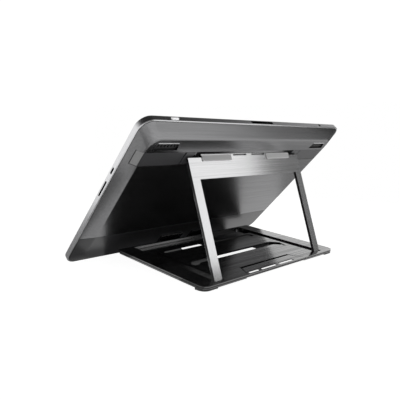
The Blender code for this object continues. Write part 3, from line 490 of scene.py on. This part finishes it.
def domed(name, place, length, width, layers, look, body):
    """A closed cap through layers of (height, inset); place turns long, cross and height into a point."""
    work = bmesh.new()
    rings = [[work.verts.new(place(u, v, height)) for u, v in stadium(length, width, inset)]
             for height, inset in layers]
    for lower, upper in zip(rings, rings[1:]):
        for index in range(len(lower)):
            after = (index + 1) % len(lower)
            work.faces.new((lower[index], lower[after], upper[after], upper[index]))
    work.faces.new(rings[0])
    work.faces.new(rings[-1])
    bmesh.ops.recalc_face_normals(work, faces=work.faces)
    for face in work.faces:
        face.smooth = True
    mesh = bpy.data.meshes.new(name)
    work.to_mesh(mesh)
    work.free()
    piece = bpy.data.objects.new(name, mesh)
    bpy.context.scene.collection.objects.link(piece)
    mesh.materials.append(look)
    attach(piece, body)


def button_crown():
    """The button's rounded crown."""
    layers = [(CROWN_START + CROWN_RISE * math.sin(angle), CROWN_INSET + CROWN_ROUND * (1 - math.cos(angle)))
              for angle in (math.radians(18 * step) for step in range(6))]
    domed("button_crown", lambda u, v, h: in_tablet(BUTTON_X + u, TABLET_EDGE + h, BAND_OUT + v),
          BUTTON_LENGTH, BUTTON_WIDTH, layers, NODES["power_button"].data.materials[0], "button")


def usb_tongue():
    """Contact tongue inside the socket, with its row of gilt contacts on both faces."""
    plastic = satin_plastic("tongue_plastic", (0.02, 0.02, 0.02), 0.4, 2600, 0.00001)
    gilt = blasted_metal("contact_gilt", (0.80, 0.60, 0.28), 0.25)
    root = TABLET_SIDE - TONGUE_ROOT
    layers = ((0.0, 0.0), (4.6 * mm, 0.0), (5.0 * mm, 0.15 * mm))
    domed("usb_tongue", lambda u, v, h: in_tablet(root + h, USB_UP + u, BAND_OUT + v),
          TONGUE_WIDTH, TONGUE_THICK, layers, plastic, "tablet")
    contact_layers = ((0.0, 0.0), (4.0 * mm, 0.0), (4.1 * mm, 0.02 * mm))
    for number in range(CONTACTS):
        up = USB_UP + (number - (CONTACTS - 1) / 2) * CONTACT_PITCH
        for face, side in (("front", 1), ("rear", -1)):
            out = BAND_OUT + side * CONTACT_OUT
            domed(f"usb_contact_{face}_{number + 1}",
                  lambda u, v, h: in_tablet(root + CONTACT_START + h, up + u, out + v),
                  CONTACT_WIDTH, CONTACT_THICK, contact_layers, gilt, "tablet")


# ---------------------------------------------------------------- stage, light and camera

def make_stage():
    """A pale round table top that glows a little, as a light table does."""
    work = bmesh.new()
    bmesh.ops.create_circle(work, cap_ends=True, segments=96, radius=TABLE_RADIUS)
    mesh = bpy.data.meshes.new("floor")
    work.to_mesh(mesh)
    work.free()
    floor = bpy.data.objects.new("floor", mesh)
    bpy.context.scene.collection.objects.link(floor)
    floor.location.z = -0.2 * mm
    look = Look("pale_floor", (0.6, 0.6, 0.6), 0.8)
    look.vary_roughness(look.noise((3, 3, 3), 2.0), 0.03)
    look.glow(TABLE_GLOW)
    mesh.materials.append(look.material)
    for name, (low, high, grey) in CARDS.items():
        card(name, low, high, grey)


def card(name, low, high, grey):
    """A card on the table that only reflections see, as photographers use to shape metal."""
    work = bmesh.new()
    corners = [work.verts.new((x, y, 0.0)) for x, y in (low, (high[0], low[1]), high, (low[0], high[1]))]
    work.faces.new(corners)
    mesh = bpy.data.meshes.new(name)
    work.to_mesh(mesh)
    work.free()
    piece = bpy.data.objects.new(name, mesh)
    piece.visible_camera = False
    piece.visible_diffuse = False
    piece.visible_shadow = False
    bpy.context.scene.collection.objects.link(piece)
    look = Look(f"{name}_card", (0, 0, 0), 1.0, specular=0.0)
    look.glow(grey)
    mesh.materials.append(look.material)


def make_light():
    """One large soft panel behind and above the stand, rolled about its own axis."""
    data = bpy.data.lights.new("rear_panel", 'AREA')
    data.shape = 'RECTANGLE'
    data.size, data.size_y = PANEL_SIZE
    data.energy = PANEL_RADIANCE * math.pi * data.size * data.size_y
    light = bpy.data.objects.new("rear_panel", data)
    light.location = PANEL_AT
    turn = (Vector(PANEL_AIM) - Vector(PANEL_AT)).to_track_quat('-Z', 'Y').to_matrix()
    light.rotation_euler = (turn @ Matrix.Rotation(PANEL_ROLL, 3, 'Z')).to_euler()
    light.visible_camera = False
    bpy.context.scene.collection.objects.link(light)


def make_world():
    """A white room, dark above, behind and low on the left, so that bright metal shows its shape."""
    world = bpy.data.worlds.new("studio")
    bpy.context.scene.world = world
    world.use_nodes = True
    tree = world.node_tree

    def fade(source, start, end, after, before=1.0):
        """One value before start, another after end."""
        node = tree.nodes.new("ShaderNodeMapRange")
        node.interpolation_type = 'SMOOTHSTEP'
        for socket, value in zip(("From Min", "From Max", "To Min", "To Max"), (start, end, before, after)):
            node.inputs[socket].default_value = value
        tree.links.new(source, node.inputs["Value"])
        return node.outputs["Result"]

    def combine(kind, first, second):
        """One step of arithmetic on an output and another output or a number."""
        node = tree.nodes.new("ShaderNodeMath")
        node.operation = kind
        tree.links.new(first, node.inputs[0])
        if isinstance(second, float):
            node.inputs[1].default_value = second
        else:
            tree.links.new(second, node.inputs[1])
        return node.outputs[0]

    direction = tree.nodes.new("ShaderNodeTexCoord").outputs["Generated"]
    split = tree.nodes.new("ShaderNodeSeparateXYZ")
    tree.links.new(direction, split.inputs[0])
    ceiling = fade(split.outputs["Z"], 0.15, 0.72, 0.03)
    rear = fade(split.outputs["Y"], 0.00, 0.42, 0.16)
    left = fade(split.outputs["X"], -0.45, -0.75, 0.12)
    above = fade(split.outputs["Z"], 0.02, 0.10, 1.0, before=0.0)
    left_floor = combine('MAXIMUM', left, above)
    room = combine('MULTIPLY', combine('MULTIPLY', ceiling, rear), left_floor)
    bright = combine('MULTIPLY', room, ROOM_GLOW)
    seen = tree.nodes.new("ShaderNodeLightPath").outputs["Is Camera Ray"]
    tree.links.new(combine('MAXIMUM', bright, seen), tree.nodes["Background"].inputs["Strength"])
    tree.nodes["Background"].inputs["Color"].default_value = WHITE


def make_camera():
    """Behind the tablet and to its right, a little above the table."""
    data = bpy.data.cameras.new("camera")
    data.lens = CAMERA_LENS
    data.sensor_width = 36.0
    data.shift_x, data.shift_y = CAMERA_SHIFT
    data.clip_start = 0.02
    camera = bpy.data.objects.new("camera", data)
    camera.location = CAMERA_AT
    camera.rotation_euler = CAMERA_TURN
    bpy.context.scene.collection.objects.link(camera)
    bpy.context.scene.camera = camera


bpy.context.scene.view_settings.view_transform = 'Standard'
paint_nodes()
soften_nodes()
button_crown()
usb_tongue()
make_stage()
make_world()
make_light()
make_camera()
